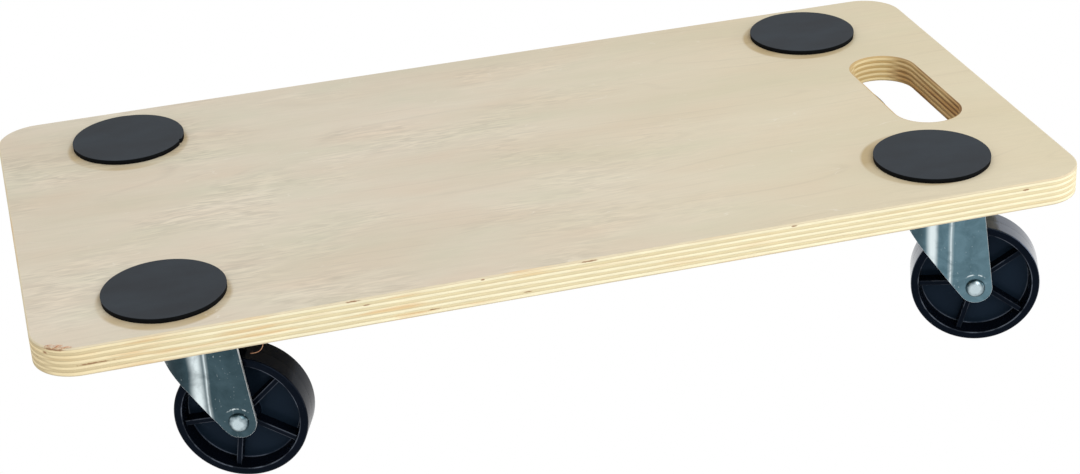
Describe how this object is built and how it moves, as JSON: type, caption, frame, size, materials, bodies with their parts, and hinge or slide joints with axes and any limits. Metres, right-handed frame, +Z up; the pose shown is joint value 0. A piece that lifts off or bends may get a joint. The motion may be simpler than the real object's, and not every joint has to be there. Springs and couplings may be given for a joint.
{
  "type": "furniture dolly",
  "caption": "Low plywood board with a hand slot and round rubber grip pads, carried on swivel castors with plain plastic wheels.",
  "frame": {"origin": "on the floor, under the middle of the board", "axes": "+X runs along the board towards its hand slot, +Z is up"},
  "size_m": [0.6, 0.3, 0.1148],
  "materials": {
    "plywood": "sanded birch plywood, unvarnished, plies bare at the edges",
    "rubber": "matt black rubber sheet",
    "zinc_steel": "bright zinc-plated pressed steel",
    "screw_steel": "zinc-plated steel screws",
    "ball_steel": "polished bearing steel",
    "wheel_plastic": "black moulded polypropylene"
  },
  "bodies": {
    "board_assembly": {"board": "plywood", "front_left_pad": "rubber", "front_right_pad": "rubber", "rear_left_pad": "rubber", "rear_right_pad": "rubber", "front_left_top_plate": "zinc_steel", "front_left_kingpin": "zinc_steel", "front_left_lower_race": "zinc_steel", "front_left_screws": "screw_steel", "front_right_top_plate": "zinc_steel", "front_right_kingpin": "zinc_steel", "front_right_lower_race": "zinc_steel", "front_right_screws": "screw_steel", "rear_left_top_plate": "zinc_steel", "rear_left_kingpin": "zinc_steel", "rear_left_lower_race": "zinc_steel", "rear_left_screws": "screw_steel", "rear_right_top_plate": "zinc_steel", "rear_right_kingpin": "zinc_steel", "rear_right_lower_race": "zinc_steel", "rear_right_screws": "screw_steel"},
    "front_left_swivel": {"front_left_fork": "zinc_steel", "front_left_axle": "zinc_steel", "front_left_axle_sleeve": "zinc_steel"},
    "front_left_ball_rings": {"front_left_upper_balls": "ball_steel", "front_left_lower_balls": "ball_steel"},
    "front_left_wheel": {"front_left_wheel": "wheel_plastic"},
    "front_right_swivel": {"front_right_fork": "zinc_steel", "front_right_axle": "zinc_steel", "front_right_axle_sleeve": "zinc_steel"},
    "front_right_ball_rings": {"front_right_upper_balls": "ball_steel", "front_right_lower_balls": "ball_steel"},
    "front_right_wheel": {"front_right_wheel": "wheel_plastic"},
    "rear_left_swivel": {"rear_left_fork": "zinc_steel", "rear_left_axle": "zinc_steel", "rear_left_axle_sleeve": "zinc_steel"},
    "rear_left_ball_rings": {"rear_left_upper_balls": "ball_steel", "rear_left_lower_balls": "ball_steel"},
    "rear_left_wheel": {"rear_left_wheel": "wheel_plastic"},
    "rear_right_swivel": {"rear_right_fork": "zinc_steel", "rear_right_axle": "zinc_steel", "rear_right_axle_sleeve": "zinc_steel"},
    "rear_right_ball_rings": {"rear_right_upper_balls": "ball_steel", "rear_right_lower_balls": "ball_steel"},
    "rear_right_wheel": {"rear_right_wheel": "wheel_plastic"}
  },
  "joints": [
    {"name": "front_left_castor_turn", "type": "hinge", "parent": "board_assembly", "child": "front_left_swivel", "pos_m": [-0.214, -0.105, 0.09043], "axis": [0, 0, 1], "continuous": true},
    {"name": "front_left_balls_roll", "type": "hinge", "parent": "board_assembly", "child": "front_left_ball_rings", "pos_m": [-0.214, -0.105, 0.09136], "axis": [0, 0, 1], "continuous": true},
    {"name": "front_left_wheel_spin", "type": "hinge", "parent": "front_left_swivel", "child": "front_left_wheel", "pos_m": [-0.19153, -0.11344, 0.0375], "axis": [0.3518, 0.9361, 0], "continuous": true},
    {"name": "front_right_castor_turn", "type": "hinge", "parent": "board_assembly", "child": "front_right_swivel", "pos_m": [0.224, -0.105, 0.09043], "axis": [0, 0, 1], "continuous": true},
    {"name": "front_right_balls_roll", "type": "hinge", "parent": "board_assembly", "child": "front_right_ball_rings", "pos_m": [0.224, -0.105, 0.09136], "axis": [0, 0, 1], "continuous": true},
    {"name": "front_right_wheel_spin", "type": "hinge", "parent": "front_right_swivel", "child": "front_right_wheel", "pos_m": [0.24612, -0.1143, 0.0375], "axis": [0.3875, 0.9219, 0], "continuous": true},
    {"name": "rear_left_castor_turn", "type": "hinge", "parent": "board_assembly", "child": "rear_left_swivel", "pos_m": [-0.214, 0.105, 0.09043], "axis": [0, 0, 1], "continuous": true},
    {"name": "rear_left_balls_roll", "type": "hinge", "parent": "board_assembly", "child": "rear_left_ball_rings", "pos_m": [-0.214, 0.105, 0.09136], "axis": [0, 0, 1], "continuous": true},
    {"name": "rear_left_wheel_spin", "type": "hinge", "parent": "rear_left_swivel", "child": "rear_left_wheel", "pos_m": [-0.19071, 0.09919, 0.0375], "axis": [0.2419, 0.9703, 0], "continuous": true},
    {"name": "rear_right_castor_turn", "type": "hinge", "parent": "board_assembly", "child": "rear_right_swivel", "pos_m": [0.224, 0.105, 0.09043], "axis": [0, 0, 1], "continuous": true},
    {"name": "rear_right_balls_roll", "type": "hinge", "parent": "board_assembly", "child": "rear_right_ball_rings", "pos_m": [0.224, 0.105, 0.09136], "axis": [0, 0, 1], "continuous": true},
    {"name": "rear_right_wheel_spin", "type": "hinge", "parent": "rear_right_swivel", "child": "rear_right_wheel", "pos_m": [0.24457, 0.09264, 0.0375], "axis": [0.515, 0.8572, 0], "continuous": true}
  ],
  "couplings": [
    {"joint": "front_left_balls_roll", "follows": "front_left_castor_turn", "ratio": 0.5},
    {"joint": "front_right_balls_roll", "follows": "front_right_castor_turn", "ratio": 0.5},
    {"joint": "rear_left_balls_roll", "follows": "rear_left_castor_turn", "ratio": 0.5},
    {"joint": "rear_right_balls_roll", "follows": "rear_right_castor_turn", "ratio": 0.5}
  ]
}
